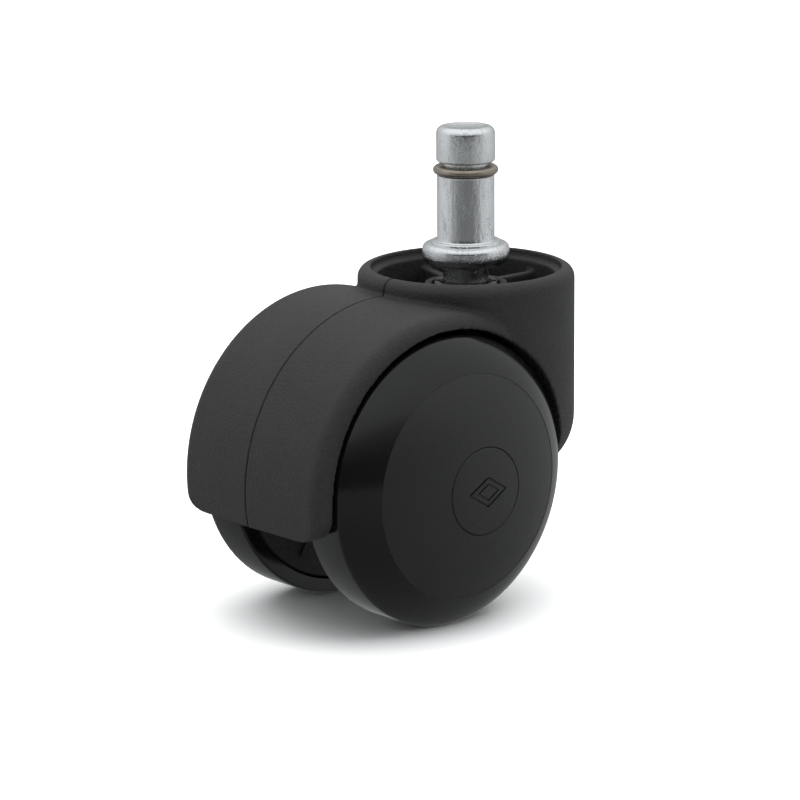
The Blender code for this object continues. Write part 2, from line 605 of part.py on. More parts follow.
def make_wheel(side, word, materials, swivel, axle_axis):
    """One wheel with everything that turns with it, and the washer and clip that stay on the axle."""
    wheel_axis = make_empty(f"{word}_wheel_axis", AXLE_CENTRE, swivel)
    hub_end = min(HUB_OUTER_FACE, INNER_CEILING - GAP)
    make_wheel_shell(side, f"wheel_shell_{word}", materials["wheel"], wheel_axis)
    make_hub(side, f"wheel_hub_{word}", materials["nylon"], wheel_axis)
    make_hub_cap(side, f"hub_cap_{word}", materials["cap"], wheel_axis)
    bush = (BORE_RADIUS, BORE_RADIUS + BUSH_WALL, HUB_INNER_FACE, hub_end)
    make_ring(side, f"hub_bush_{word}", *bush, materials["acetal"], wheel_axis)
    washer = (BORE_RADIUS, WASHER_RADIUS, WASHER_INNER_FACE, WASHER_INNER_FACE + WASHER_THICKNESS)
    make_ring(side, f"spacer_washer_{word}", *washer, materials["acetal"], axle_axis)
    clip_inner = AXLE_RADIUS - CLIP_GROOVE_DEPTH + GAP
    clip = (clip_inner, CLIP_OUTER_RADIUS, CLIP_INNER_FACE, CLIP_OUTER_FACE)
    make_ring(side, f"axle_clip_{word}", *clip, materials["steel"], axle_axis)


def main():
    """Build the caster."""
    clear_scene()
    materials = {
        "zinc": make_material("zinc_plate", (0.66, 0.68, 0.70), 0.25, 1.0),
        "bronze": make_material("ring_wire", (0.30, 0.25, 0.20), 0.35, 1.0),
        "steel": make_material("bright_steel", (0.55, 0.55, 0.56), 0.3, 1.0),
        "nylon": make_material("matte_nylon", (0.035, 0.035, 0.033), 0.6),
        "wheel": make_material("glossy_nylon", (0.015, 0.015, 0.015), 0.2),
        "cap": make_material("satin_nylon", (0.03, 0.03, 0.03), 0.45),
        "collar": make_material("greased_collar", (0.10, 0.10, 0.07), 0.4),
        "acetal": make_material("white_acetal", (0.75, 0.75, 0.72), 0.4),
    }
    make_stem(materials["zinc"])
    make_grip_ring(materials["bronze"])
    swivel = make_empty("swivel_axis", (0, 0, 0))
    make_housing(materials["nylon"], swivel)
    make_collar(materials["collar"], swivel)
    make_thrust_ball(materials["steel"], swivel)
    make_wear_plate(materials["steel"], swivel)
    axle_axis = make_empty("axle_axis", AXLE_CENTRE, swivel)
    make_axle(materials["steel"], axle_axis)
    for side, word in ((-1, "left"), (1, "right")):
        make_wheel(side, word, materials, swivel, axle_axis)


main()
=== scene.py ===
"""Looks of the hooded twin-wheel chair caster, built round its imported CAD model."""

from __future__ import annotations

import json
import logging
from collections.abc import Sequence
from dataclasses import dataclass
from enum import Enum
from math import cos, pi, radians, sin, sqrt

import bmesh
import bpy
from mathutils import Matrix, Vector


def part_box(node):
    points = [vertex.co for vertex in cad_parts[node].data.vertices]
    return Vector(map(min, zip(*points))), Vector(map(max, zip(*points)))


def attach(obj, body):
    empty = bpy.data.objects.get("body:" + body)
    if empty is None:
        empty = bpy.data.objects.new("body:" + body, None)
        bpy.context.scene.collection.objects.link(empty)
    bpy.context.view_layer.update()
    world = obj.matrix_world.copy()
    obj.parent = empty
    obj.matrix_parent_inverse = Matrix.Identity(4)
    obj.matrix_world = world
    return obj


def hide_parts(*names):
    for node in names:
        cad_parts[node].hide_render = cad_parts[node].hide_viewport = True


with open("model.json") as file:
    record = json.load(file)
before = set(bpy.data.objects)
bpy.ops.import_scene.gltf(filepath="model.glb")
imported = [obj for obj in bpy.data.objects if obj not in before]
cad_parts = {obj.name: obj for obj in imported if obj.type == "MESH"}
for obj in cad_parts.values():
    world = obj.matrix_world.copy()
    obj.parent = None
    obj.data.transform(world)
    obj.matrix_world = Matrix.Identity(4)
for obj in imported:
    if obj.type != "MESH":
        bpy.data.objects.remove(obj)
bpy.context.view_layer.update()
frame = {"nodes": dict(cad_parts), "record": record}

LOG = logging.getLogger("caster")
MM = 0.001
WELD = 0.001 * MM
SHARP_ANGLE = radians(32)
FIT_GAP = 0.3 * MM
CLEAR = 1.0 * MM
Point = tuple[float, float]
Colour = tuple[float, float, float]


class Axis(Enum):
    """The axis that a piece is turned about."""

    STEM = "Z"
    AXLE = "Y"

    @property
    def direction(self) -> Vector:
        """The axis as a unit vector."""
        return Vector((0, 0, 1)) if self is Axis.STEM else Vector((0, 1, 0))

    def point(self, radius: float, height: float) -> Vector:
        """A point of an outline, in the plane of +X and the axis."""
        return Vector((radius, 0, 0)) + height * self.direction


class Side(Enum):
    """The two sides of the centre plane; the value is the sign of Y."""

    LEFT = -1
    RIGHT = 1

    @property
    def word(self) -> str:
        """The side's name in node names."""
        return self.name.lower()


class Operation(Enum):
    """What a Boolean does with its tool."""

    CUT = "DIFFERENCE"
    JOIN = "UNION"


# Meshes


def arc(centre: Point, radius: float, start: float, end: float, steps: int) -> list[Point]:
    """Points along an arc in an outline's plane.

    Args:
        centre: The arc's centre.
        radius: The arc's radius.
        start: The first angle in degrees, where 0 is away from the axis.
        end: The last angle in degrees.
        steps: How many chords the arc has.

    Returns:
        The points, both ends included.
    """
    angles = [radians(start + (end - start) * i / steps) for i in range(steps + 1)]
    return [(centre[0] + radius * cos(a), centre[1] + radius * sin(a)) for a in angles]


def rectangle(low: Point, high: Point) -> list[Point]:
    """The four corners of a rectangle, in order."""
    return [low, (high[0], low[1]), high, (low[0], high[1])]


def seal(name: str, bm: bmesh.types.BMesh, place: Vector | None = None) -> bpy.types.Mesh:
    """Merge a bmesh's doubles, turn its faces outwards and make it a mesh.

    Args:
        name: The mesh's name.
        bm: The bmesh, which is freed.
        place: Where its origin goes.

    Returns:
        The finished mesh, shaded smooth up to its sharp edges.
    """
    bmesh.ops.remove_doubles(bm, verts=bm.verts, dist=WELD)
    bmesh.ops.recalc_face_normals(bm, faces=bm.faces)
    if place is not None:
        bmesh.ops.translate(bm, verts=bm.verts, vec=place)
    mesh = bpy.data.meshes.new(name)
    bm.to_mesh(mesh)
    bm.free()
    mesh.shade_smooth()
    mesh.set_sharp_from_angle(angle=SHARP_ANGLE)
    return mesh


def turned(
    name: str,
    outline: Sequence[Point],
    axis: Axis,
    steps: int,
    place: Vector | None = None,
    closed: bool = False,
) -> bpy.types.Mesh:
    """Turn an outline about an axis.

    Args:
        name: The mesh's name.
        outline: Points of (distance from the axis, height along it).
        axis: The axis that it is turned about.
        steps: How many facets go round.
        place: Where the axis's origin goes.
        closed: Whether the outline is a loop, as for a ring.

    Returns:
        The turned mesh.
    """
    bm = bmesh.new()
    verts = [bm.verts.new(axis.point(r, h)) for r, h in outline]
    ends = verts[1:] + verts[:1] if closed else verts[1:]
    edges = [bm.edges.new(pair) for pair in zip(verts, ends)]
    bmesh.ops.spin(
        bm,
        geom=verts + edges,
        axis=axis.direction,
        angle=2 * pi,
        steps=steps,
        use_merge=True,
    )
    return seal(name, bm, place)


def extruded(name: str, outline: Sequence[Point], along: str, low: float, high: float) -> bpy.types.Mesh:
    """Extrude a closed outline straight along X, Y or Z.

    Args:
        name: The mesh's name.
        outline: The outline's points in the plane across the axis.
        along: The letter of the axis.
        low: Where the extrusion starts.
        high: Where it ends.

    Returns:
        The closed mesh.
    """
    place = {
        "X": lambda u, v, w: Vector((w, u, v)),
        "Y": lambda u, v, w: Vector((u, w, v)),
        "Z": lambda u, v, w: Vector((u, v, w)),
    }[along]
    bm = bmesh.new()
    face = bm.faces.new([bm.verts.new(place(u, v, low)) for u, v in outline])
    grown = bmesh.ops.extrude_face_region(bm, geom=[face])
    moved = [item for item in grown["geom"] if isinstance(item, bmesh.types.BMVert)]
    bmesh.ops.translate(bm, verts=moved, vec=place(0, 0, high - low))
    return seal(name, bm)


def link(name: str, mesh: bpy.types.Mesh) -> bpy.types.Object:
    """Put a mesh in the scene as a named object."""
    obj = bpy.data.objects.new(name, mesh)
    bpy.context.collection.objects.link(obj)
    return obj


@dataclass
class Workpiece:
    """A solid on the bench, which tools cut and join before it becomes a piece."""

    obj: bpy.types.Object

    @classmethod
    def start(cls, mesh: bpy.types.Mesh) -> Workpiece:
        """Start from a first solid."""
        return cls(link(mesh.name, mesh))

    def apply(self) -> None:
        """Bake the modifiers into the mesh."""
        bpy.context.view_layer.update()
        graph = bpy.context.evaluated_depsgraph_get()
        baked = bpy.data.meshes.new_from_object(self.obj.evaluated_get(graph))
        self.obj.modifiers.clear()
        old = self.obj.data
        self.obj.data = baked
        bpy.data.meshes.remove(old)

    def combine(self, operation: Operation, mesh: bpy.types.Mesh, turn: Matrix | None = None) -> None:
        """Cut or join one tool.

        Args:
            operation: What to do with the tool.
            mesh: The tool's closed mesh, which is used up.
            turn: How the tool is turned about the origin first.
        """
        if turn is not None:
            mesh.transform(turn)
        tool = link("tool", mesh)
        boolean = self.obj.modifiers.new("tool", "BOOLEAN")
        boolean.operation = operation.value
        boolean.solver = "MANIFOLD"
        boolean.object = tool
        self.apply()
        bpy.data.objects.remove(tool)

    def soften(self, voxel: float, passes: int, kept_share: float = 1.0) -> None:
        """Remesh the solid evenly and round its edges, as a moulding's are.

        Args:
            voxel: The size of the new faces.
            passes: How many times it is smoothed.
            kept_share: The share of the faces that is kept at the end.
        """
        remesh = self.obj.modifiers.new("remesh", "REMESH")
        remesh.mode = "VOXEL"
        remesh.voxel_size = voxel
        smooth = self.obj.modifiers.new("smooth", "SMOOTH")
        smooth.factor = 0.5
        smooth.iterations = passes
        if kept_share < 1:
            thin = self.obj.modifiers.new("thin", "DECIMATE")
            thin.ratio = kept_share
        self.apply()

    def take(self) -> bpy.types.Mesh:
        """Take the mesh off the bench, as a tool for another workpiece."""
        mesh = self.obj.data
        bpy.data.objects.remove(self.obj)
        return mesh

    def rename(self, name: str, sharp: bool = False) -> bpy.types.Object:
        """Finish the workpiece under its own name.

        Args:
            name: The piece's name.
            sharp: Whether its corners stay crisp, as on a piece that wasn't softened.

        Returns:
            The finished piece.
        """
        self.obj.name = name
        self.obj.data.name = name
        self.obj.data.shade_smooth()
        if sharp:
            self.obj.data.set_sharp_from_angle(angle=SHARP_ANGLE)
        return self.obj


# Shader maths


@dataclass(frozen=True)
class Signal:
    """An output socket whose operators add Math nodes."""

    book: NodeBook
    socket: bpy.types.NodeSocket

    def _with(self, operation: str, first: Signal | float, second: Signal | float) -> Signal:
        """Add the Math node of one operator."""
        return self.book.maths(operation, first, second)

    def __add__(self, other: Signal | float) -> Signal:
        """Add."""
        return self._with("ADD", self, other)

    def __radd__(self, other: float) -> Signal:
        """Add to a number."""
        return self._with("ADD", other, self)

    def __sub__(self, other: Signal | float) -> Signal:
        """Subtract."""
        return self._with("SUBTRACT", self, other)

    def __rsub__(self, other: float) -> Signal:
        """Subtract from a number."""
        return self._with("SUBTRACT", other, self)

    def __mul__(self, other: Signal | float) -> Signal:
        """Multiply."""
        return self._with("MULTIPLY", self, other)

    def __rmul__(self, other: float) -> Signal:
        """Multiply a number."""
        return self._with("MULTIPLY", other, self)

    def step(self, low: float, high: float) -> Signal:
        """Rise smoothly from 0 at low to 1 at high."""
        settings = {"interpolation_type": "SMOOTHSTEP"}
        inputs = {"Value": self, "From Min": low, "From Max": high}
        return self.book.add("ShaderNodeMapRange", settings, inputs, "Result")


class MixSocket(Enum):
    """The numbers of a colour Mix node's sockets, whose names repeat."""

    LOW = 6
    HIGH = 7
    RESULT = 2


class NodeBook:
    """Adds nodes to one node tree."""

    def __init__(self, tree: bpy.types.NodeTree) -> None:
        """Open a tree."""
        self.tree = tree

    def add(
        self,
        kind: str,
        settings: dict[str, object] | None = None,
        inputs: dict[str | int, object] | None = None,
        output: str | int = 0,
    ) -> Signal:
        """Add one node.

        Args:
            kind: The node's type.
            settings: Its own settings, such as an operation, which are set first.
            inputs: Values or signals for its sockets, by name or number.
            output: The output wanted.

        Returns:
            That output.
        """
        node = self.tree.nodes.new(kind)
        for key, value in (settings or {}).items():
            setattr(node, key, value)
        for key, value in (inputs or {}).items():
            self.feed(node.inputs[key], value)
        return Signal(self, node.outputs[output])

    def feed(self, socket: bpy.types.NodeSocket, value: object) -> None:
        """Link a signal to a socket, or set its value."""
        if isinstance(value, Signal):
            self.tree.links.new(value.socket, socket)
        elif socket.type == "RGBA" and len(value) == 3:
            socket.default_value = (*value, 1)
        else:
            socket.default_value = value

    def maths(self, operation: str, *values: Signal | float) -> Signal:
        """Add a Math node."""
        return self.add("ShaderNodeMath", {"operation": operation}, dict(enumerate(values)))

    def place(self) -> Signal:
        """The place on the piece, in metres in the model's frame."""
        return self.add("ShaderNodeTexCoord", output="Object")

    def stretched(self, vector: Signal, scale: Sequence[float]) -> Signal:
        """A place scaled by axis, for a pattern with a grain."""
        return self.add("ShaderNodeMapping", inputs={"Vector": vector, "Scale": scale})

    def noise(self, vector: Signal, size: float, detail: float = 2.0, rough: float = 0.5) -> Signal:
        """Cloudy noise between 0 and 1 whose blotches have about the given size in metres."""
        inputs = {"Vector": vector, "Scale": 1 / size, "Detail": detail, "Roughness": rough}
        return self.add("ShaderNodeTexNoise", inputs=inputs, output="Fac")

    def cells(self, vector: Signal, size: float) -> Signal:
        """Distance to the nearest of scattered points about the given size apart."""
        inputs = {"Vector": vector, "Scale": 1 / size}
        return self.add("ShaderNodeTexVoronoi", inputs=inputs, output="Distance")

    def distance_from(self, centre: Vector, across: Axis) -> Signal:
        """How far the place is from a line along an axis through a centre."""
        offset = self.add(
            "ShaderNodeVectorMath",
            {"operation": "SUBTRACT"},
            {0: self.place(), 1: tuple(centre)},
        )
        kept = tuple(1 - abs(part) for part in across.direction)
        flat = self.add("ShaderNodeVectorMath", {"operation": "MULTIPLY"}, {0: offset, 1: kept})
        return self.add("ShaderNodeVectorMath", {"operation": "LENGTH"}, {0: flat}, "Value")

    def height(self) -> Signal:
        """The Z of the place."""
        return self.add("ShaderNodeSeparateXYZ", inputs={0: self.place()}, output="Z")

    def blend(
        self,
        factor: Signal | float,
        low: Colour | Signal,
        high: Colour | Signal,
        kind: str = "MIX",
    ) -> Signal:
        """Mix two colours.

        Args:
            factor: How much of the second colour shows.
            low: The first colour.
            high: The second colour.
            kind: How they are mixed, such as MIX or ADD.

        Returns:
            The mixed colour.
        """
        settings = {"data_type": "RGBA", "blend_type": kind}
        inputs = {"Factor": factor, MixSocket.LOW.value: low, MixSocket.HIGH.value: high}
        return self.add("ShaderNodeMix", settings, inputs, MixSocket.RESULT.value)

    def along(self, direction: Vector) -> Signal:
        """The part of the looked-along direction, in a world, that points one way."""
        looked = self.add("ShaderNodeTexCoord", output="Generated")
        settings = {"operation": "DOT_PRODUCT"}
        return self.add("ShaderNodeVectorMath", settings, {0: looked, 1: tuple(direction)}, "Value")

    def bump(self, height: Signal, depth: float, strength: float, under: Signal | None = None) -> Signal:
        """Turn a height into a normal.

        Args:
            height: The height, between 0 and 1.
            depth: How deep a height of 1 is, in metres.
            strength: How much of it shows.
            under: A normal that lies under this one.

        Returns:
            The bumped normal.
        """
        inputs: dict[str | int, object] = {"Height": height, "Distance": depth, "Strength": strength}
        if under is not None:
            inputs["Normal"] = under
        return self.add("ShaderNodeBump", inputs=inputs, output="Normal")


class MaterialBook(NodeBook):
    """Adds nodes to a new material with a Principled shader."""

    def __init__(self, name: str) -> None:
        """Start the material.

        Args:
            name: The material's name.
        """
        self.material = bpy.data.materials.new(name)
        self.material.use_nodes = True
        super().__init__(self.material.node_tree)
        self.shader = self.tree.nodes["Principled BSDF"]

    def finish(self, **sockets: object) -> bpy.types.Material:
        """Feed the shader's sockets, named with _ for a space, and give the material."""
        for key, value in sockets.items():
            self.feed(self.shader.inputs[key.replace("_", " ")], value)
        return self.material


# Finishes


@dataclass(frozen=True)
class MouldedNylon:
    """Black nylon from a spark-eroded mould: a fine even grain with hardly any shine, plus painted glints as
    pale specks in its colour.
    """

    name: str = "moulded_nylon"
    dark: Colour = (0.007, 0.007, 0.0065)
    light: Colour = (0.016, 0.016, 0.0145)
    roughness: float = 0.50
    grain: float = 0.40 * MM
    grain_depth: float = 0.10 * MM
    cloud: float = 9 * MM
    # Spacing and colour of the painted glints, pale specks added into the base colour.
    speck_spacing: float = 2.6 * MM
    speck: Colour = (0.12, 0.12, 0.12)

    def make(self) -> bpy.types.Material:
        """Make the material."""
        book = MaterialBook(self.name)
        place = book.place()
        clouds = book.noise(place, self.cloud, 3)
        grain = book.noise(place, self.grain, 4, 0.65).step(0.25, 0.75)
        # Painted glints: pale specks added into the base colour stand in for sparkles of light off the
        # grain.
        glint_spots = book.cells(place, self.speck_spacing).step(0.05, 0.01)
        tone = book.blend(clouds * 0.5 + grain * 0.5, self.dark, self.light)
        glints = book.blend(glint_spots * 0.25, (0, 0, 0), self.speck)
        total = book.blend(1.0, tone, glints, "ADD")
        rough = self.roughness + grain * 0.16 - clouds * 0.06
        fine = book.bump(grain, self.grain_depth, 1.0)
        return book.finish(Base_Color=total, Roughness=rough, Normal=fine)


@dataclass(frozen=True)
class WheelNylon:
    """Black nylon with a polished tread and shoulder round a matte face."""

    axle: Vector
    face_radius: float
    name: str = "wheel_nylon"
    polished: Colour = (0.004, 0.004, 0.0042)
    matte: Colour = (0.010, 0.010, 0.010)
    border: float = 0.1 * MM
    grain: float = 0.45 * MM
    cloud: float = 7 * MM
    scuff: float = 1.6 * MM
    ripple: float = 11 * MM

    def make(self) -> bpy.types.Material:
        """Make the material."""
        book = MaterialBook(self.name)
        place = book.place()
        radius = book.distance_from(self.axle, Axis.AXLE)
        gloss = radius.step(self.face_radius - self.border, self.face_radius + self.border)
        matte = 1 - gloss
        grain = book.noise(place, self.grain, 3, 0.6)
        clouds = book.noise(place, self.cloud, 3)
        scuffs = book.noise(book.stretched(place, (1, 4, 1)), self.scuff, 4, 0.7).step(0.60, 0.75)
        tone = book.blend(matte * (0.7 + clouds * 0.6), self.polished, self.matte)
        rough = matte * (0.40 + grain * 0.12) + gloss * (0.115 + scuffs * 0.10 + clouds * 0.05)
        wave = book.bump(book.noise(place, self.ripple, 1), 0.35 * MM, 0.10)
        pebbles = book.bump(grain * matte, 0.06 * MM, 0.8, wave)
        return book.finish(Base_Color=tone, Roughness=rough, Specular_IOR_Level=0.38, Normal=pebbles)


@dataclass(frozen=True)
class ZincPlate:
    """Bright zinc plate on turned steel, mottled and finely pitted along the shaft."""

    shaft_top: float
    name: str = "zinc_plate"
    bright: Colour = (0.76, 0.78, 0.79)
    dull: Colour = (0.27, 0.28, 0.30)
    blotch: float = 1.9 * MM
    pit_spacing: float = 0.30 * MM
    pit_patch: float = 1.6 * MM
    turning_pitch: float = 0.09 * MM

    def make(self) -> bpy.types.Material:
        """Make the material."""
        book = MaterialBook(self.name)
        place = book.place()
        height = book.height()
        below_cap = 1 - height.step(self.shaft_top - 1 * MM, self.shaft_top)
        shaft = height.step(0.2 * MM, 1.0 * MM) * below_cap
        upright = book.stretched(place, (1, 1, 0.35))
        blotch = book.noise(upright, self.blotch, 6, 0.7)
        patches = book.noise(upright, self.pit_patch, 3).step(0.44, 0.62)
        pits = book.cells(place, self.pit_spacing).step(0.42, 0.12) * patches
        rings = book.noise(book.stretched(place, (0.05, 0.05, 1)), self.turning_pitch, 2)
        stain = blotch.step(0.56, 0.70)
        tone = book.blend(1 - stain * 0.45 - pits * (0.15 + shaft * 0.75), self.dull, self.bright)
        rough = 0.13 + shaft * 0.17 + stain * 0.12 + pits * 0.2
        dents = book.bump(blotch, 0.45 * MM, 0.5)
        lines = book.bump(rings, 0.01 * MM, 0.35, dents)
        pitted = book.bump(1 - pits, 0.05 * MM, 0.6, lines)
        return book.finish(Base_Color=tone, Metallic=1.0, Roughness=rough, Normal=pitted)


@dataclass(frozen=True)
class SpringWire:
    """Brown tempered spring wire."""

    name: str = "spring_wire"
    dark: Colour = (0.17, 0.145, 0.12)
    light: Colour = (0.44, 0.39, 0.335)
    streak: float = 0.35 * MM
    cloud: float = 2.5 * MM

    def make(self) -> bpy.types.Material:
        """Make the material."""
        book = MaterialBook(self.name)
        place = book.place()
        streaks = book.noise(book.stretched(place, (0.3, 0.3, 1)), self.streak, 4, 0.6)
        clouds = book.noise(place, self.cloud, 2)
        tone = book.blend(streaks * 0.6 + clouds * 0.4, self.dark, self.light)
        rough = 0.24 + streaks * 0.14
        drawn = book.bump(streaks, 0.02 * MM, 0.4)
        return book.finish(Base_Color=tone, Metallic=0.9, Roughness=rough, Normal=drawn)


@dataclass(frozen=True)
class GreasedNylon:
    """Dark olive nylon under a film of grease."""

    name: str = "greased_nylon"
    dark: Colour = (0.014, 0.014, 0.009)
    light: Colour = (0.060, 0.058, 0.036)
    smear: float = 1.3 * MM

    def make(self) -> bpy.types.Material:
        """Make the material."""
        book = MaterialBook(self.name)
        place = book.place()
        smears = book.noise(place, self.smear, 4, 0.6)
        film = smears.step(0.42, 0.62)
        tone = book.blend(smears, self.dark, self.light)
        rough = 0.46 - film * 0.28
        lumps = book.bump(smears, 0.35 * MM, 0.5)
        return book.finish(Base_Color=tone, Roughness=rough, Normal=lumps)


@dataclass(frozen=True)
class TurnedSteel:
    """Ground and turned steel of the inner parts."""

    name: str = "turned_steel"
    dark: Colour = (0.34, 0.34, 0.35)
    light: Colour = (0.60, 0.60, 0.62)
    turning_pitch: float = 0.12 * MM

    def make(self) -> bpy.types.Material:
        """Make the material."""
        book = MaterialBook(self.name)
        place = book.place()
        grooves = book.noise(book.stretched(place, (0.2, 1, 0.2)), self.turning_pitch, 3)
        tone = book.blend(grooves, self.dark, self.light)
        rough = 0.24 + grooves * 0.14
        cut = book.bump(grooves, 0.01 * MM, 0.4)
        return book.finish(Base_Color=tone, Metallic=1.0, Roughness=rough, Normal=cut)


@dataclass(frozen=True)
class Acetal:
    """Natural white acetal of the bushes and washers."""

    name: str = "natural_acetal"
    dark: Colour = (0.60, 0.60, 0.56)
    light: Colour = (0.78, 0.78, 0.74)
    cloud: float = 1.2 * MM

    def make(self) -> bpy.types.Material:
        """Make the material."""
        book = MaterialBook(self.name)
        clouds = book.noise(book.place(), self.cloud, 3)
        tone = book.blend(clouds, self.dark, self.light)
        rough = 0.34 + clouds * 0.12
        skin = book.bump(clouds, 0.02 * MM, 0.3)
        return book.finish(Base_Color=tone, Roughness=rough, Normal=skin)


@dataclass(frozen=True)
class StudioPaper:
    """The pale floor."""

    name: str = "studio_paper"
    dark: Colour = (0.90, 0.90, 0.90)
    light: Colour = (0.94, 0.94, 0.94)
    cloud: float = 200 * MM

    def make(self) -> bpy.types.Material:
        """Make the material."""
        book = MaterialBook(self.name)
        tone = book.blend(book.noise(book.place(), self.cloud), self.dark, self.light)
        return book.finish(Base_Color=tone, Roughness=0.9)


# Pieces


def dress(
    obj: bpy.types.Object,
    material: bpy.types.Material,
    body: str,
    node: str | None = None,
) -> bpy.types.Object:
    """Give a new piece its finish, hang it on the body it rides on and hide the CAD node that it stands for.

    Args:
        obj: The finished piece.
        material: Its material.
        body: The CAD body that it moves with.
        node: The CAD node that it stands for.

    Returns:
        The piece.
    """
    obj.data.materials.clear()
    obj.data.materials.append(material)
    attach(obj, body)
    if node:
        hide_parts(node)
    LOG.info("%s: %d faces, rides on %s", obj.name, len(obj.data.polygons), body)
    return obj


def repaint(node: str, material: bpy.types.Material) -> None:
    """Give a CAD node that stays a better material."""
    obj = frame["nodes"][node]
    for place in obj.material_slots:
        place.material = material
    LOG.info("%s: CAD node repainted", node)


def axle_centre() -> Vector:
    """Where the axle crosses the centre plane, from the wheels' joints."""
    joints = frame["record"]["behaviour"]["joints"]
    spots = [joint["pos_m"] for joint in joints if joint["name"] == "left_wheel_roll"]
    return Vector(spots[0])


@dataclass
class StemAssembly:
    """The zinc-plated stem and its grip ring."""

    shaft_radius: float = 5.0 * MM
    cap_radius: float = 5.1 * MM
    cap_bottom: float = 13.8 * MM
    cap_rounding: float = 1.25 * MM
    cap_foot_rounding: float = 0.45 * MM
    dish_depth: float = 0.25 * MM
    dish_rim: float = 0.35 * MM
    dish_slope: float = 0.5 * MM
    groove_radius: float = 3.9 * MM
    ring_gap: float = 0.05 * MM
    root_rounding: float = 0.3 * MM
    flange_radius: float = 7.55 * MM
    seat_radius: float = 6.05 * MM
    seat_step: float = 0.42 * MM
    seat_slope: float = 0.05 * MM
    flange_thickness: float = 4.1 * MM
    shoulder_rounding: float = 1.0 * MM
    under_rounding: float = 1.6 * MM
    neck_radius: float = 4.0 * MM
    neck_rounding: float = 0.4 * MM
    notch_below_collar: float = 2.3 * MM
    notch_height: float = 1.4 * MM
    notch_depth: float = 0.6 * MM
    notch_slope: float = 0.1 * MM
    tip_chamfer: float = 0.5 * MM
    ball_seat_radius: float = 2.5 * MM
    ball_seat_depth: float = 1.4 * MM
    wire_radius: float = 0.73 * MM
    wire_facets: int = 20
    ring_opening: float = 40.0
    ring_direction: float = 50.0
    ring_steps: int = 90
    edge: float = 0.15 * MM
    steps: int = 96

    def outline(self) -> list[Point]:
        """The stem's outline, from the middle of its cap down to the ball seat."""
        low, high = (corner.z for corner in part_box("stem"))
        groove_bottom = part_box("grip_ring")[0].z - self.ring_gap
        crown = (self.cap_radius - self.cap_rounding, high - self.cap_rounding)
        flat = crown[0] - self.dish_rim
        points = [(0, high - self.dish_depth), (flat - self.dish_slope, high - self.dish_depth)]
        points += [(flat, high - 0.4 * self.dish_depth), (crown[0], high)]
        points += arc(crown, self.cap_rounding, 88, 0, 8)
        foot = self.cap_foot_rounding
        points += arc((self.cap_radius - foot, self.cap_bottom + foot), foot, 0, -90, 4)
        points += [(self.groove_radius, self.cap_bottom), (self.groove_radius, groove_bottom)]
        root = self.root_rounding
        points += arc((self.shaft_radius - root, groove_bottom - root), root, 90, 0, 3)
        points += [(self.shaft_radius, root)]
        points += arc((self.shaft_radius + root, root), root, 180, 270, 3)
        points += arc((self.seat_radius - self.edge, -self.edge), self.edge, 90, 0, 3)
        points += [(self.seat_radius + self.seat_slope, -self.seat_step)]
        shoulder = (self.flange_radius - self.shoulder_rounding, -self.seat_step - self.shoulder_rounding)
        points += arc(shoulder, self.shoulder_rounding, 90, 0, 8)
        under = (self.flange_radius - self.under_rounding, self.under_rounding - self.flange_thickness)
        points += arc(under, self.under_rounding, 0, -90, 8)
        bend = self.neck_rounding
        points += arc((self.neck_radius + bend, -self.flange_thickness - bend), bend, 90, 180, 3)
        notch = self.neck_radius - self.notch_depth
        notch_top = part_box("stem_collar")[1].z - self.notch_below_collar
        notch_bottom = notch_top - self.notch_height
        points += [(self.neck_radius, notch_top), (notch, notch_top - self.notch_slope)]
        points += [(notch, notch_bottom + self.notch_slope), (self.neck_radius, notch_bottom)]
        points += [(self.neck_radius, low + self.tip_chamfer), (self.neck_radius - self.tip_chamfer, low)]
        ball_top = low + self.ball_seat_depth
        points += [(self.ball_seat_radius, low), (self.ball_seat_radius, ball_top), (0, ball_top)]
        return points

    def build(self) -> None:
        """Build and dress the stem and the ring."""
        stem = link("stem_turning", turned("stem_turning", self.outline(), Axis.STEM, self.steps))
        zinc = ZincPlate(shaft_top=self.cap_bottom).make()
        dress(stem, zinc, "stem_body", "stem")
        dress(self.build_ring(), SpringWire().make(), "stem_body", "grip_ring")

    def build_ring(self) -> bpy.types.Object:
        """Spin the open wire ring and round its two ends."""
        low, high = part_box("grip_ring")
        centreline = (high.x - low.x) / 2 - self.wire_radius
        middle = (low.z + high.z) / 2
        bm = bmesh.new()
        section = bmesh.ops.create_circle(bm, segments=self.wire_facets, radius=self.wire_radius)
        upright = Matrix.Rotation(radians(90), 3, "X")
        bmesh.ops.rotate(bm, verts=section["verts"], matrix=upright)
        bmesh.ops.translate(bm, verts=section["verts"], vec=(centreline, 0, middle))
        bmesh.ops.spin(
            bm,
            geom=bm.verts[:] + bm.edges[:],
            axis=(0, 0, 1),
            angle=radians(360 - self.ring_opening),
            steps=self.ring_steps,
        )
        filled = bmesh.ops.holes_fill(bm, edges=[edge for edge in bm.edges if edge.is_boundary])
        rims = [edge for face in filled["faces"] for edge in face.edges]
        bmesh.ops.bevel(
            bm,
            geom=rims,
            offset=0.35 * self.wire_radius,
            segments=3,
            profile=0.5,
            affect="EDGES",
            material=-1,
        )
        turn = Matrix.Rotation(radians(self.ring_direction + self.ring_opening / 2), 3, "Z")
        bmesh.ops.rotate(bm, verts=bm.verts, matrix=turn)
        return link("ring_wire", seal("ring_wire", bm))


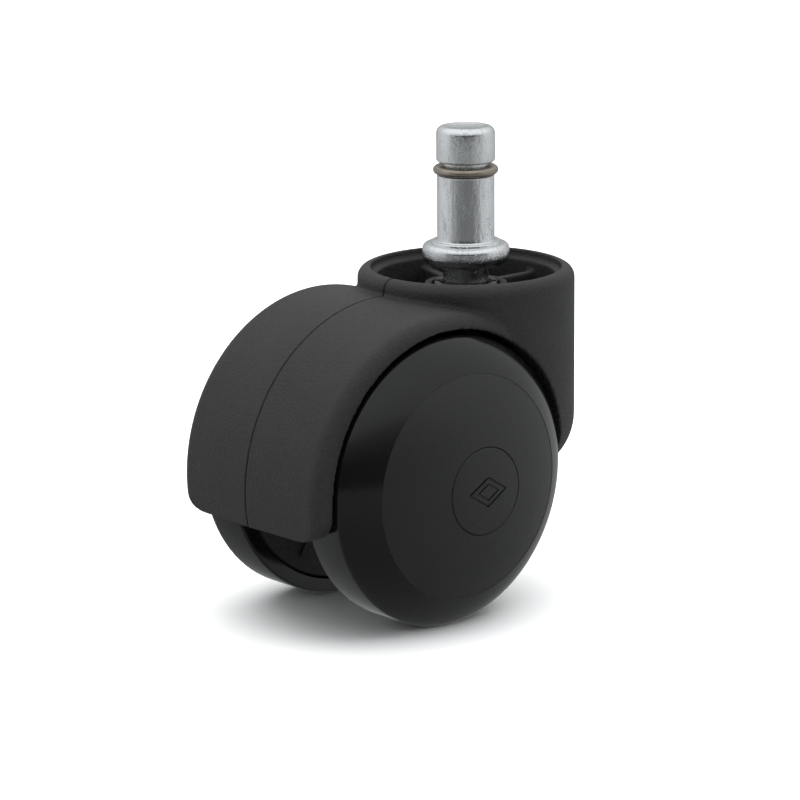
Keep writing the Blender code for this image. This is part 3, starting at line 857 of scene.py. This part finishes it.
@dataclass
class StemCollar:
    """The slotted olive collar in the mouth of the stem's socket."""

    inner_radius: float = 4.3 * MM
    slot: float = 1.2 * MM
    slot_angles: tuple[int, ...] = (45, 135)
    chamfer: float = 0.35 * MM
    root: float = 1.3 * MM
    voxel: float = 0.16 * MM
    passes: int = 4

    def build(self) -> None:
        """Build and dress the collar."""
        low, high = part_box("stem_collar")
        outer = (high.x - low.x) / 2
        top, bottom = high.z, low.z
        outline = [(self.inner_radius, top - 2 * self.chamfer), (self.inner_radius + self.chamfer, top)]
        outline += arc((outer - self.chamfer, top - self.chamfer), self.chamfer, 90, 0, 3)
        outline += [(outer, bottom), (self.inner_radius, bottom)]
        work = Workpiece.start(turned("collar", outline, Axis.STEM, 96, closed=True))
        reach = 2 * outer
        across = rectangle((-reach, -self.slot / 2), (reach, self.slot / 2))
        for angle in self.slot_angles:
            cutter = extruded("slot", across, "Z", bottom + self.root, top + reach)
            work.combine(Operation.CUT, cutter, Matrix.Rotation(radians(angle), 4, "Z"))
        work.soften(self.voxel, self.passes)
        collar = work.rename("snap_collar")
        dress(collar, GreasedNylon().make(), "swivel_body", "stem_collar")


@dataclass
class HousingMoulding:
    """The one-piece nylon moulding of cup, hood, web, socket, ribs and axle boss."""

    rim_wall: float = 2.3 * MM
    cup_wall: float = 3.4 * MM
    rim_rounding: float = 1.9 * MM
    ledge_depth: float = 1.4 * MM
    cup_height: float = 36.55 * MM
    cup_bottom_rounding: float = 10.5 * MM
    hood_wall: float = 3.6 * MM
    hood_rounding: float = 2.4 * MM
    hood_draft: float = 0.45 * MM
    hood_forward: float = 0.5 * MM
    hood_lower: float = 0.5 * MM
    corner_radius: float = 5.5 * MM
    half_width: float = 18.0 * MM
    web_half: float = 1.5 * MM
    web_stock: float = 0.3 * MM
    rear_margin: float = 0.1 * MM
    trim: float = 0.3 * MM
    tube_radius: float = 7.2 * MM
    tube_floor: float = 2.1 * MM
    recess_radius: float = 5.9 * MM
    socket_radius: float = 4.3 * MM
    boss_drop: float = 3.0 * MM
    boss_radius: float = 5.5 * MM
    boss_half_length: float = 8.8 * MM
    bore_radius: float = 3.3 * MM
    rib_thickness: float = 1.6 * MM
    rib_drop: float = 0.25 * MM
    rib_reach: float = 0.9
    rib_angles: tuple[int, ...] = (0, 75, 150, 210, 285)
    seam_width: float = 0.32 * MM
    seam_depth: float = 0.45 * MM
    seam_shift: Point = (0.25 * MM, 0.05 * MM)
    slit_half: float = 0.22 * MM
    slit_depth: float = 0.45 * MM
    slit_height: float = 3.2 * MM
    rim_slit_depth: float = 0.4 * MM
    rim_slit_reach: float = 0.6 * MM
    notch_depth: float = 1.1 * MM
    notch_corners: tuple[Point, ...] = ((-0.6, -0.2), (0.9, -1.3), (0.9, 0.9))
    voxel: float = 0.30 * MM
    passes: int = 3
    kept_share: float = 0.4
    steps: int = 160

    def __post_init__(self) -> None:
        """Read the overall places from the CAD model."""
        low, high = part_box("housing")
        self.axle = axle_centre()
        self.cup_radius = high.x
        self.rim_top = high.z
        self.front = low.z
        self.hood_centre = self.axle - Vector((self.hood_forward, 0, self.hood_lower))
        self.hood_radius = self.hood_centre.x - low.x
        self.well_radius = self.hood_radius - self.hood_wall
        self.cup_bottom = self.rim_top - self.cup_height
        self.boss_top = self.rim_top - self.boss_drop
        self.socket_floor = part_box("wear_plate")[0].z - FIT_GAP

    def foot(self) -> Point:
        """The centre of the rounding at the cup's bottom."""
        return (self.cup_radius - self.cup_bottom_rounding, self.cup_bottom + self.cup_bottom_rounding)

    def cup(self) -> bpy.types.Mesh:
        """The outside of the cup."""
        rim = (self.cup_radius - self.rim_rounding, self.rim_top - self.rim_rounding)
        outline = [(0, self.rim_top)]
        outline += arc(rim, self.rim_rounding, 90, 0, 8)
        outline += arc(self.foot(), self.cup_bottom_rounding, 0, -90, 16)
        outline += [(0, self.cup_bottom)]
        return turned("cup", outline, Axis.STEM, self.steps)

    def cup_hollow(self) -> bpy.types.Mesh:
        """The hollow of the cup, with the ledge inside its rim."""
        inner = self.cup_radius - self.cup_wall
        rim = self.cup_radius - self.rim_wall
        ledge = self.rim_top - self.ledge_depth
        rounding = self.cup_bottom_rounding - self.cup_wall
        outline = [(0, self.rim_top + self.rim_wall), (rim, self.rim_top + self.rim_wall)]
        outline += [(rim, ledge), (inner, ledge)]
        outline += arc(self.foot(), rounding, 0, -90, 10)
        outline += [(0, self.cup_bottom + self.cup_wall)]
        return turned("cup_hollow", outline, Axis.STEM, self.steps)

    def band(self) -> bpy.types.Mesh:
        """The hood's band, highest at the parting line, with the web inside it."""
        rounding = self.hood_rounding
        edge = self.hood_radius - self.hood_draft - rounding
        core = self.well_radius - self.hood_forward - self.hood_lower
        web = self.web_half + self.web_stock
        outline = [(0, -web), (core, -web), (core, -self.half_width)]
        outline += arc((edge, rounding - self.half_width), rounding, -90, 0, 8)
        outline += [(self.hood_radius, 0)]
        outline += arc((edge, self.half_width - rounding), rounding, 0, 90, 8)
        outline += [(core, self.half_width), (core, web), (0, web)]
        return turned("band", outline, Axis.AXLE, self.steps, self.hood_centre)

    def well(self, side: Side) -> bpy.types.Mesh:
        """The room for one wheel beside the web."""
        inner = side.value * self.web_half
        outer = side.value * (self.half_width + self.cup_radius)
        outline = [(0, inner), (self.well_radius, inner), (self.well_radius, outer), (0, outer)]
        return turned("well", outline, Axis.AXLE, self.steps, self.axle)

    def rear_waste(self) -> bpy.types.Mesh:
        """What the band would leave outside the cup, behind the stem."""
        reach = 3 * self.cup_radius
        work = Workpiece.start(extruded("waste", rectangle((0, -reach), (reach, reach)), "Z", -4 * reach, 0))
        margin = self.rear_margin
        outline = [(0, margin), (self.cup_radius - margin, margin)]
        outline += arc(self.foot(), self.cup_bottom_rounding - margin, 0, -90, 16)
        outline += [(0, self.cup_bottom + margin)]
        work.combine(Operation.CUT, turned("kept", outline, Axis.STEM, self.steps))
        return work.take()

    def underside(self) -> bpy.types.Mesh:
        """Everything below the hood's front edge and the cup's bottom."""
        step = self.axle.x + self.boss_radius + self.trim
        far = 3 * self.hood_radius
        rear = self.cup_bottom + self.trim
        outline = [(-far, self.front), (step, self.front), (step, rear), (far, rear)]
        outline += [(far, -far), (-far, -far)]
        return extruded("underside", outline, "Y", -far, far)

    def corner(self, side: Side) -> bpy.types.Mesh:
        """The waste outside one rounded corner of the hood's front edge."""
        sign = side.value
        centre = (sign * (self.half_width - self.corner_radius), self.front + self.corner_radius)
        start = 0 if side is Side.RIGHT else 180
        end = -90 if side is Side.RIGHT else 270
        far = self.half_width + self.corner_radius
        outline = arc(centre, self.corner_radius, start, end, 12)
        outline += [(centre[0], self.front - far), (sign * far, self.front - far), (sign * far, centre[1])]
        low = self.axle.x - self.hood_radius - far
        return extruded("corner", outline, "X", low, self.axle.x - self.well_radius / 2)

    def drum(self, radius: float, low: float, high: float, axis: Axis) -> bpy.types.Mesh:
        """A plain drum on the stem's or the axle's axis."""
        outline = [(0, low), (radius, low), (radius, high), (0, high)]
        place = self.axle if axis is Axis.AXLE else None
        return turned("drum", outline, axis, 96, place)

    def rib(self, angle: int) -> tuple[bpy.types.Mesh, Matrix]:
        """One radial rib and the turn that puts it in place."""
        reach = self.cup_radius - self.cup_wall / 2
        middle = self.well_radius + self.hood_wall / 2
        offset = -self.axle.x
        across = max(reach * cos(radians(angle)), self.tube_radius * cos(radians(angle))) + offset
        drop = sqrt(middle**2 - min(across, self.rib_reach * middle) ** 2)
        half = self.rib_thickness / 2
        outline = rectangle((self.tube_radius - half, -half), (reach, half))
        mesh = extruded("rib", outline, "Z", self.axle.z + drop, self.boss_top - self.rib_drop)
        return mesh, Matrix.Rotation(radians(angle), 4, "Z")

    def socket(self) -> bpy.types.Mesh:
        """The stem's socket with the collar's recess at its mouth."""
        top = self.boss_top + self.rim_wall
        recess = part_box("stem_collar")[0].z - FIT_GAP
        outline = [(0, top), (self.recess_radius, top), (self.recess_radius, recess)]
        outline += [(self.socket_radius, recess), (self.socket_radius, self.socket_floor)]
        outline += [(0, self.socket_floor)]
        return turned("socket", outline, Axis.STEM, 96)

    def seam_tools(self) -> list[bpy.types.Mesh]:
        """Cutters for the mould's parting line over the hood and down the cup's front."""
        half = self.seam_width / 2
        inner = self.hood_radius - self.seam_depth
        outer = self.hood_radius + self.hood_wall
        outline = [(inner, -half), (outer, -half), (outer, half), (inner, half)]
        forward, up = self.seam_shift
        fading = self.hood_centre + Vector((forward, 0, up))
        over_hood = turned("seam", outline, Axis.AXLE, 240, fading, closed=True)
        front = -self.cup_radius
        rim_edge = front + self.rim_wall
        above = self.rim_top + CLEAR
        slit = self.slit_half
        face = rectangle((front - CLEAR, self.rim_top - self.slit_height), (front + self.slit_depth, above))
        down_cup = extruded("slit", face, "Y", -slit, slit)
        crest = rectangle(
            (front - CLEAR, self.rim_top - self.rim_slit_depth),
            (rim_edge + self.rim_slit_reach, above),
        )
        over_rim = extruded("rim_slit", crest, "Y", -slit, slit)
        notch = [(rim_edge + u * MM, v * MM) for u, v in self.notch_corners]
        at_rim = extruded("notch", notch, "Z", self.rim_top - self.notch_depth, above)
        return [over_hood, down_cup, over_rim, at_rim]

    def build(self) -> None:
        """Build, soften and dress the moulding."""
        work = Workpiece.start(self.cup())
        work.combine(Operation.CUT, self.cup_hollow())
        band = Workpiece.start(self.band())
        band.combine(Operation.CUT, self.rear_waste())
        work.combine(Operation.JOIN, band.take())
        for angle in self.rib_angles:
            work.combine(Operation.JOIN, *self.rib(angle))
        for side in Side:
            work.combine(Operation.CUT, self.well(side))
        tube_bottom = self.socket_floor - self.tube_floor
        work.combine(Operation.JOIN, self.drum(self.tube_radius, tube_bottom, self.boss_top, Axis.STEM))
        half = self.boss_half_length
        work.combine(Operation.JOIN, self.drum(self.boss_radius, -half, half, Axis.AXLE))
        work.combine(Operation.CUT, self.underside())
        for side in Side:
            work.combine(Operation.CUT, self.corner(side))
        work.combine(Operation.CUT, self.socket())
        work.combine(Operation.CUT, self.drum(self.bore_radius, -2 * half, 2 * half, Axis.AXLE))
        work.soften(self.voxel, self.passes, self.kept_share)
        for tool in self.seam_tools():
            work.combine(Operation.CUT, tool)
        moulding = work.rename("hood_moulding")
        dress(moulding, MouldedNylon().make(), "swivel_body", "housing")


@dataclass
class WheelAssembly:
    """One wheel: polished shell, ribbed hub disc and hub cap."""

    side: Side
    tread_edge: float = 17.5 * MM
    dome_fullness: float = 0.78
    wall: float = 2.5 * MM
    tread_rounding: float = 0.4 * MM
    face_radius: float = 19.26 * MM
    face_step: float = 0.07 * MM
    step_width: float = 0.06 * MM
    crease: float = 0.12 * MM
    cap_radius: float = 7.45 * MM
    cap_gap: float = 0.06 * MM
    cap_thickness: float = 1.44 * MM
    cap_seat_depth: float = 1.5 * MM
    plug_opening: float = 5.3 * MM
    plug_length: float = 0.8 * MM
    lozenge_sizes: tuple[float, ...] = (0.58, 0.34)
    lozenge_tallness: float = 0.62
    lozenge_line: float = 0.38 * MM
    lozenge_depth: float = 0.16 * MM
    hub_radius: float = 6.9 * MM
    hub_bore: float = 4.4 * MM
    tube_stand: float = 0.1 * MM
    disc_thickness: float = 2.0 * MM
    disc_chamfer: float = 0.3 * MM
    rib_count: int = 6
    rib_thickness: float = 1.2 * MM
    rib_height: float = 0.3 * MM
    rib_root: float = 0.5 * MM
    rib_margin: float = 2.5 * MM
    steps: int = 192

    def __post_init__(self) -> None:
        """Read the overall sizes from the CAD model."""
        self.axle = axle_centre()
        low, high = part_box(f"wheel_shell_{self.side.word}")
        cap_low, cap_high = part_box(f"hub_cap_{self.side.word}")
        self.radius = (high.z - low.z) / 2
        self.inner_face = min(abs(low.y), abs(high.y))
        self.dome_top = max(abs(cap_low.y), abs(cap_high.y))
        self.dome_height = self.dome_top - self.tread_edge
        self.body = f"wheel_{self.side.word}"

    def dome(self, radius: float, inset: float = 0.0) -> float:
        """How far the dome stands from the centre plane at a radius."""
        share = min(radius / (self.radius - inset), 1)
        height = self.dome_height - inset
        return self.tread_edge + height * (1 - share**2) ** self.dome_fullness

    def dome_run(self, start: float, end: float, steps: int, inset: float = 0.0) -> list[Point]:
        """Points of the dome between two radii, closer together at the outer one."""
        spots = [1 - (1 - i / steps) ** 2 for i in range(steps + 1)]
        return [(r, self.dome(r, inset)) for r in (start + (end - start) * spot for spot in spots)]

    def flipped(self, outline: Sequence[Point]) -> list[Point]:
        """An outline drawn for the right wheel, on this wheel's side."""
        return [(r, self.side.value * h) for r, h in outline]

    def shell(self) -> bpy.types.Mesh:
        """The tread, shoulder and face."""
        recess = self.cap_radius + self.cap_gap
        cap_back = self.dome(recess) - self.cap_seat_depth
        run = self.dome_run(recess + self.crease, self.face_radius, 24)
        face = [(r, h - self.face_step) for r, h in run]
        outline = [(recess, face[0][1] - self.crease), *face]
        outline += self.dome_run(self.face_radius + self.step_width, self.radius - 0.02 * MM, 26)
        edge = self.tread_rounding
        outline += [(self.radius, self.tread_edge - edge)]
        outline += arc((self.radius - edge, self.inner_face + edge), edge, 0, -90, 4)
        inner = self.radius - self.wall
        throat = self.hub_radius + FIT_GAP
        outline += [(inner, self.inner_face)]
        outline += list(reversed(self.dome_run(throat, inner, 16, self.wall)))
        outline += [(self.plug_opening, self.dome(throat, self.wall))]
        outline += [(self.plug_opening, cap_back), (recess, cap_back)]
        return turned("shell", self.flipped(outline), Axis.AXLE, self.steps, self.axle, closed=True)

    def hub(self) -> bpy.types.Object:
        """The inboard disc with its ribs and hub tube."""
        low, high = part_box(f"wheel_hub_{self.side.word}")
        near, far = sorted((abs(low.y), abs(high.y)))
        wide = (high.z - low.z) / 2
        face = near + self.tube_stand
        back = face + self.disc_thickness
        bevel = self.disc_chamfer
        outline = [(self.hub_bore, near), (self.hub_radius - self.tube_stand, near), (self.hub_radius, face)]
        outline += [(wide - bevel, face), (wide, face + bevel), (wide, back), (self.hub_radius, back)]
        outline += [(self.hub_radius, far), (self.hub_bore, far)]
        mesh = turned("hub", self.flipped(outline), Axis.AXLE, self.steps, self.axle, closed=True)
        work = Workpiece.start(mesh)
        half = self.rib_thickness / 2
        reach = rectangle((self.hub_radius - self.rib_root, -half), (wide - self.rib_margin, half))
        sign = self.side.value
        bounds = sorted((sign * (face - self.rib_height), sign * (face + self.rib_root)))
        to_axle = Matrix.Translation(self.axle)
        for index in range(self.rib_count):
            turn = to_axle @ Matrix.Rotation(2 * pi * index / self.rib_count, 4, "Y")
            work.combine(Operation.JOIN, extruded("rib", reach, "Y", *bounds), turn)
        return work.rename(f"hub_disc_{self.side.word}", sharp=True)

    def cap(self) -> bpy.types.Object:
        """The hub cap with a plain engraved lozenge."""
        back = self.dome(self.cap_radius) - self.cap_thickness
        plug = self.plug_opening - FIT_GAP
        plug_end = back - self.plug_length
        top = self.dome_run(0, self.cap_radius - self.crease, 14)
        outline = [(r, h - self.face_step) for r, h in top]
        outline += [(self.cap_radius, outline[-1][1] - self.crease), (self.cap_radius, back)]
        outline += [(plug, back), (plug, plug_end), (0, plug_end)]
        mesh = turned("cap", self.flipped(outline), Axis.AXLE, self.steps, self.axle)
        work = Workpiece.start(mesh)
        for size in self.lozenge_sizes:
            work.combine(Operation.CUT, self.lozenge(size * self.cap_radius))
        return work.rename(f"hub_cap_disc_{self.side.word}", sharp=True)

    def lozenge(self, reach: float) -> bpy.types.Mesh:
        """A cutter for one engraved lozenge outline, wider than it is tall."""
        depth = self.lozenge_depth
        tall = self.lozenge_tallness * reach
        sign = self.side.value
        floor = self.dome(reach) - self.face_step - depth
        bounds = sorted((sign * floor, sign * (self.dome_top + CLEAR)))
        outer = [(reach, 0), (0, tall), (-reach, 0), (0, -tall)]
        shrink = 1 - self.lozenge_line / tall
        inner = [(u * shrink, v * shrink) for u, v in outer]
        work = Workpiece.start(extruded("lozenge", outer, "Y", *bounds))
        over = [bounds[0] - depth, bounds[1] + depth]
        work.combine(Operation.CUT, extruded("core", inner, "Y", *over))
        mesh = work.take()
        mesh.transform(Matrix.Translation(self.axle))
        return mesh

    def build(self, nylon: bpy.types.Material, matte: bpy.types.Material) -> None:
        """Build and dress the wheel."""
        word = self.side.word
        shell = link(f"wheel_{word}_shell", self.shell())
        dress(shell, nylon, self.body, f"wheel_shell_{word}")
        # The hub disc takes the darker nylon copy, which paints in the shade inside the wheel.
        dress(self.hub(), matte, self.body, f"wheel_hub_{word}")
        dress(self.cap(), nylon, self.body, f"hub_cap_{word}")


@dataclass
class InnerParts:
    """The axle, ball, plate, bushes, washers and clips, whose CAD shapes stay."""

    steel: tuple[str, ...] = ("axle", "thrust_ball", "wear_plate")
    steel_pairs: tuple[str, ...] = ("axle_clip",)
    acetal_pairs: tuple[str, ...] = ("hub_bush", "spacer_washer")

    def build(self) -> None:
        """Repaint the CAD nodes."""
        steel, acetal = TurnedSteel().make(), Acetal().make()
        for node in self.steel + self.both_sides(self.steel_pairs):
            repaint(node, steel)
        for node in self.both_sides(self.acetal_pairs):
            repaint(node, acetal)

    @staticmethod
    def both_sides(pairs: Sequence[str]) -> tuple[str, ...]:
        """The names of the nodes that each side has one of."""
        return tuple(f"{name}_{side.word}" for name in pairs for side in Side)


@dataclass
class Studio:
    """The pale floor, soft lights and camera."""

    azimuth: float = -41.06
    elevation: float = 13.59
    roll: float = -0.39
    lens: float = 177.16
    distance: float = 687.75 * MM
    across: float = -11.58 * MM
    above: float = -28.47 * MM
    horizon: float = 0.40
    side_glow: float = 0.34
    overhead_glow: float = 1.08
    gap_depth: float = 0.88
    sensor: float = 36.0
    nearest: float = 0.01
    floor_reach: float = 6.0
    lit_spot: tuple[float, float, float] = (-0.01, 0, -0.02)

    def build(self) -> None:
        """Set the floor, the lights, the world and the camera."""
        self.floor()
        self.surround()
        self.softbox("top_softbox", (0.18, 0.22, 1.1), (2.2, 2.2), 34.0)
        self.camera()

    def toward_camera(self) -> Vector:
        """The level direction from the caster to the camera."""
        turn = radians(self.azimuth)
        return Vector((sin(turn), -cos(turn), 0))

    def floor(self) -> None:
        """A wide pale floor under the wheels, which the polished parts don't mirror."""
        bm = bmesh.new()
        bmesh.ops.create_grid(bm, x_segments=8, y_segments=8, size=self.floor_reach)
        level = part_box("wheel_shell_left")[0].z
        floor = link("studio_floor", seal("studio_floor", bm, Vector((0, 0, level))))
        floor.data.materials.append(StudioPaper().make())
        floor.visible_glossy = False

    def surround(self) -> None:
        """Soft light from above and both sides, with a dim gap at the camera's side."""
        world = bpy.data.worlds.new("studio")
        world.use_nodes = True
        book = NodeBook(world.node_tree)
        level = book.along(self.toward_camera())
        height = book.along(Vector((0, 0, 1)))
        overhead = height.step(0.10, 0.90)
        sides = 1 - level * level
        horizon = self.horizon + self.side_glow * sides
        above = height.step(-0.12, -0.06)
        gap = level.step(0.50, 0.60) * above * (1 - height.step(0.40, 0.52))
        ring = horizon * (1 - self.gap_depth * gap)
        open_sky = ring * (1 - overhead) + self.overhead_glow * overhead
        table = horizon * (1 - level.step(-0.2, 0.9) * 0.22) * (0.45 + 0.55 * height.step(-0.75, -0.1))
        glow = open_sky * above + table * (1 - above)
        background = world.node_tree.nodes["Background"]
        background.inputs["Color"].default_value = (0.97, 0.99, 1.0, 1)
        book.feed(background.inputs["Strength"], glow)
        bpy.context.scene.world = world
        bpy.context.scene.view_settings.view_transform = "Standard"

    def softbox(self, name: str, place: Sequence[float], size: Point, power: float) -> None:
        """Hang one rectangular area light, which the polished parts don't mirror.

        Args:
            name: The light's name.
            place: Where it hangs.
            size: Its width and height.
            power: Its power in watts.
        """
        data = bpy.data.lights.new(name, "AREA")
        data.shape = "RECTANGLE"
        data.size, data.size_y = size
        data.energy = power
        light = bpy.data.objects.new(name, data)
        light.location = place
        aim = Vector(self.lit_spot) - Vector(place)
        light.rotation_euler = aim.to_track_quat("-Z", "Y").to_euler()
        light.visible_glossy = False
        bpy.context.collection.objects.link(light)

    def camera(self) -> None:
        """Look at the caster from the hood's left, slightly above."""
        turn, lift, tilt = radians(self.azimuth), radians(self.elevation), radians(self.roll)
        back = Vector((sin(turn) * cos(lift), -cos(turn) * cos(lift), sin(lift)))
        right = Vector((cos(turn), sin(turn), 0))
        up = back.cross(right)
        level_right = cos(tilt) * right + sin(tilt) * up
        level_up = cos(tilt) * up - sin(tilt) * right
        data = bpy.data.cameras.new("studio_camera")
        data.lens = self.lens
        data.sensor_width = self.sensor
        data.clip_start = self.nearest
        camera = bpy.data.objects.new("studio_camera", data)
        place = self.across * right + Vector((0, 0, self.above)) + self.distance * back
        facing = Matrix((level_right, level_up, back)).transposed().to_4x4()
        camera.matrix_world = Matrix.Translation(place) @ facing
        bpy.context.collection.objects.link(camera)
        bpy.context.scene.camera = camera


def main() -> None:
    """Build the caster's pieces and the studio, in order."""
    logging.basicConfig(level=logging.INFO, format="%(name)s: %(message)s")
    StemAssembly().build()
    StemCollar().build()
    HousingMoulding().build()
    nylon = WheelNylon(axle=axle_centre(), face_radius=WheelAssembly.face_radius).make()
    # Painted shade: the hub discs get a darker copy of the moulded nylon, standing in for the shade inside
    # the wheels.
    matte = MouldedNylon(name="hub_nylon", light=(0.008, 0.008, 0.008), roughness=0.6).make()
    for side in Side:
        WheelAssembly(side).build(nylon, matte)
    InnerParts().build()
    Studio().build()


if __name__ == "__main__":
    main()
